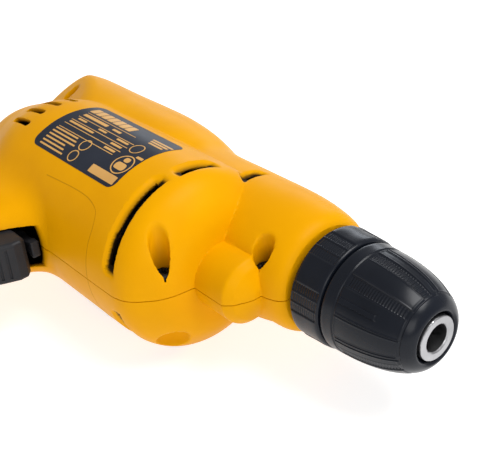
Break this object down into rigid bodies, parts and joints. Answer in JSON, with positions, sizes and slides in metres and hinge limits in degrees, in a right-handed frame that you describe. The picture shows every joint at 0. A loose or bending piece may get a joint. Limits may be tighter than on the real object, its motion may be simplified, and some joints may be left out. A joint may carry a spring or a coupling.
{
  "type": "corded pistol-grip drill",
  "caption": "Corded pistol-grip drill lying on its left side, with a yellow clamshell body, vented motor housing, geared spindle and a black keyless chuck.",
  "frame": {"origin": "centre of the bounding box in X and Y, at the lowest point of the drill as it lies on its left side", "axes": "+X forward along the spindle, +Y towards the top of the drill, away from the handle, +Z towards its right side, which faces up"},
  "size_m": [0.238, 0.1968, 0.0723],
  "materials": {
    "housing_plastic": "satin fine-textured moulded plastic",
    "plate_film": "smooth printed film",
    "zinc_screw": "zinc plated",
    "bearing_steel": "ground",
    "hardened_steel": "hardened and oiled",
    "nose_steel": "turned and polished",
    "sintered_bronze": "sintered, oiled",
    "cast_aluminium": "die cast",
    "chuck_plastic": "satin moulded plastic",
    "lamination_steel": "stacked sheet",
    "winding_copper": "enamelled wire",
    "fan_plastic": "moulded",
    "brush_brass": "pressed sheet",
    "brush_carbon": "pressed carbon",
    "control_plastic": "satin moulded plastic",
    "gland_rubber": "soft moulded",
    "capacitor_case": "moulded box",
    "lead_insulation": "insulated wire"
  },
  "bodies": {
    "housing": {"right_housing": "housing_plastic", "left_housing": "housing_plastic", "rating_plate": "plate_film", "left_side_plate": "plate_film", "housing_screw_1": "zinc_screw", "housing_screw_2": "zinc_screw", "housing_screw_3": "zinc_screw", "housing_screw_4": "zinc_screw", "housing_screw_5": "zinc_screw", "housing_screw_6": "zinc_screw", "housing_screw_7": "zinc_screw", "spindle_front_bearing": "bearing_steel", "armature_nose_bearing": "bearing_steel", "armature_front_bearing": "bearing_steel", "armature_rear_bearing": "bearing_steel", "spindle_rear_bush": "sintered_bronze", "gear_plate": "cast_aluminium", "stator_core": "lamination_steel", "field_coil_right": "winding_copper", "field_coil_left": "winding_copper", "brush_holder_top": "brush_brass", "brush_holder_bottom": "brush_brass", "carbon_brush_top": "brush_carbon", "carbon_brush_bottom": "brush_carbon", "brush_spring_top": "bearing_steel", "brush_spring_bottom": "bearing_steel", "switch_body": "control_plastic", "trigger_spring": "bearing_steel", "suppression_capacitor": "capacitor_case", "cord_gland": "gland_rubber", "cord_clamp": "control_plastic", "cord_clamp_screw_1": "zinc_screw", "cord_clamp_screw_2": "zinc_screw", "brush_lead_top": "lead_insulation", "brush_lead_bottom": "lead_insulation"},
    "armature": {"armature_shaft": "bearing_steel", "armature_core": "lamination_steel", "armature_winding_front": "winding_copper", "armature_winding_rear": "winding_copper", "commutator": "winding_copper", "cooling_fan": "fan_plastic"},
    "spindle": {"spindle": "bearing_steel", "spindle_gear": "hardened_steel", "gear_retaining_ring": "hardened_steel", "chuck_body": "nose_steel", "chuck_screw": "zinc_screw", "chuck_rear_sleeve": "chuck_plastic"},
    "sleeve": {"chuck_front_sleeve": "chuck_plastic", "jaw_nut": "hardened_steel"},
    "jaw_1": {"jaw_1": "hardened_steel"},
    "jaw_2": {"jaw_2": "hardened_steel"},
    "jaw_3": {"jaw_3": "hardened_steel"},
    "trigger": {"trigger": "control_plastic"},
    "lever": {"reversing_lever": "control_plastic"},
    "lock_button": {"lock_on_button": "control_plastic"}
  },
  "joints": [
    {"name": "armature_spin", "type": "hinge", "parent": "housing", "child": "armature", "pos_m": [-0.011, 0.04396, 0.03616], "axis": [1, 0, 0], "continuous": true},
    {"name": "spindle_spin", "type": "hinge", "parent": "housing", "child": "spindle", "pos_m": [0.059, 0.06756, 0.03616], "axis": [1, 0, 0], "continuous": true},
    {"name": "sleeve_turn", "type": "hinge", "parent": "spindle", "child": "sleeve", "pos_m": [0.103, 0.06756, 0.03616], "axis": [1, 0, 0], "range_deg": [-3840, 0]},
    {"name": "jaw_1_slide", "type": "slide", "parent": "spindle", "child": "jaw_1", "axis": [0.9563, -0.2924, 0], "range_m": [0, 0.0171]},
    {"name": "jaw_2_slide", "type": "slide", "parent": "spindle", "child": "jaw_2", "axis": [0.9563, 0.1462, -0.2532], "range_m": [0, 0.0171]},
    {"name": "jaw_3_slide", "type": "slide", "parent": "spindle", "child": "jaw_3", "axis": [0.9563, 0.1462, 0.2532], "range_m": [0, 0.0171]},
    {"name": "trigger_pull", "type": "slide", "parent": "housing", "child": "trigger", "axis": [-1, 0, 0], "range_m": [0, 0.007], "stiffness_N_per_m": 700, "springref_m": -0.004, "deforming": ["trigger_spring"]},
    {"name": "reversing_lever_swing", "type": "hinge", "parent": "housing", "child": "lever", "pos_m": [-0.038, 0.00426, 0.03616], "axis": [0, 1, 0], "range_deg": [-14, 14]},
    {"name": "lock_on_press", "type": "slide", "parent": "housing", "child": "lock_button", "axis": [0, 0, 1], "range_m": [0, 0.0025], "stiffness_N_per_m": 400, "springref_m": -0.002}
  ],
  "couplings": [
    {"joint": "spindle_spin", "follows": "armature_spin", "ratio": -0.13462},
    {"joint": "jaw_1_slide", "follows": "sleeve_turn", "m_per_rad": -0.00025465},
    {"joint": "jaw_2_slide", "follows": "sleeve_turn", "m_per_rad": -0.00025465},
    {"joint": "jaw_3_slide", "follows": "sleeve_turn", "m_per_rad": -0.00025465}
  ]
}
